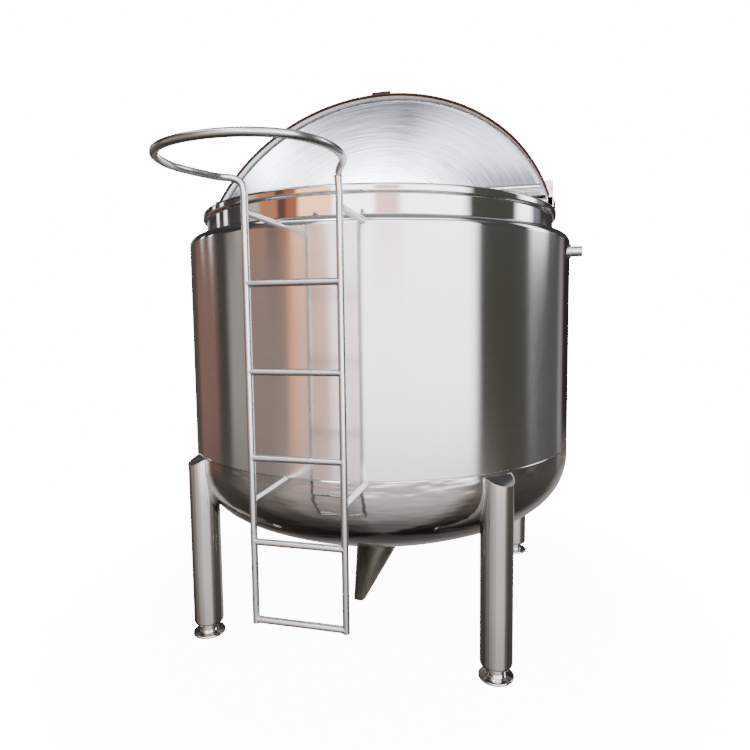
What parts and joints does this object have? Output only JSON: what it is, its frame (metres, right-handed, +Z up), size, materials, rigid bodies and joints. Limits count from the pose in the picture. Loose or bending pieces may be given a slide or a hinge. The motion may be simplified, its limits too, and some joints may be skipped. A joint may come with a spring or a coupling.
{
  "type": "vertical storage tank",
  "caption": "Jacketed stainless steel storage tank on legs, with a hinged half lid standing open, a ladder with a safety hoop, a side nozzle and a bottom discharge duct.",
  "frame": {"origin": "on the vessel's vertical axis at floor level, in the plane of the feet's undersides", "axes": "+Z up, -Y towards the ladder, +X towards the side nozzle; the lid's hinge line runs along X"},
  "size_m": [1.9863, 2.6383, 2.6839],
  "materials": {
    "polished_steel": "mirror polished stainless steel",
    "satin_steel": "satin stainless steel tube",
    "brushed_sheet": "circularly brushed stainless sheet",
    "dark_rubber": "matt dark brown seal",
    "black_plastic": "black moulded handle"
  },
  "bodies": {
    "tank": {"jacket_shell": "polished_steel", "jacket_shoulder": "polished_steel", "bottom_head": "polished_steel", "vessel_wall": "polished_steel", "vessel_bottom": "satin_steel", "rim_ring": "polished_steel", "rear_cover": "polished_steel", "cover_front_rail": "polished_steel", "lid_stop_left": "polished_steel", "lid_stop_right": "polished_steel", "hinge_lugs_left": "satin_steel", "hinge_lugs_right": "satin_steel", "leg_front_left": "polished_steel", "leg_front_right": "polished_steel", "leg_rear_left": "polished_steel", "leg_rear_right": "polished_steel", "foot_front_left": "satin_steel", "foot_front_right": "satin_steel", "foot_rear_left": "satin_steel", "foot_rear_right": "satin_steel", "ladder_left_stile_and_hoop": "satin_steel", "ladder_right_stile": "satin_steel", "ladder_rung_1": "satin_steel", "ladder_rung_2": "satin_steel", "ladder_rung_3": "satin_steel", "ladder_rung_4": "satin_steel", "ladder_rung_5": "satin_steel", "ladder_standoff_lower_left": "satin_steel", "ladder_standoff_lower_right": "satin_steel", "ladder_standoff_upper_left": "satin_steel", "ladder_standoff_upper_right": "satin_steel", "side_nozzle": "satin_steel", "discharge_duct": "polished_steel"},
    "lid": {"front_lid": "brushed_sheet", "lid_seal": "dark_rubber", "lid_hinge_rail": "polished_steel", "lid_stiffener": "polished_steel", "lid_handle": "black_plastic", "lid_knuckle_left": "satin_steel", "lid_knuckle_right": "satin_steel"}
  },
  "joints": [
    {"name": "lid_hinge", "type": "hinge", "parent": "tank", "child": "lid", "pos_m": [0, -0.204, 2.0235], "axis": [1, 0, 0], "range_deg": [0, 111.5]}
  ]
}
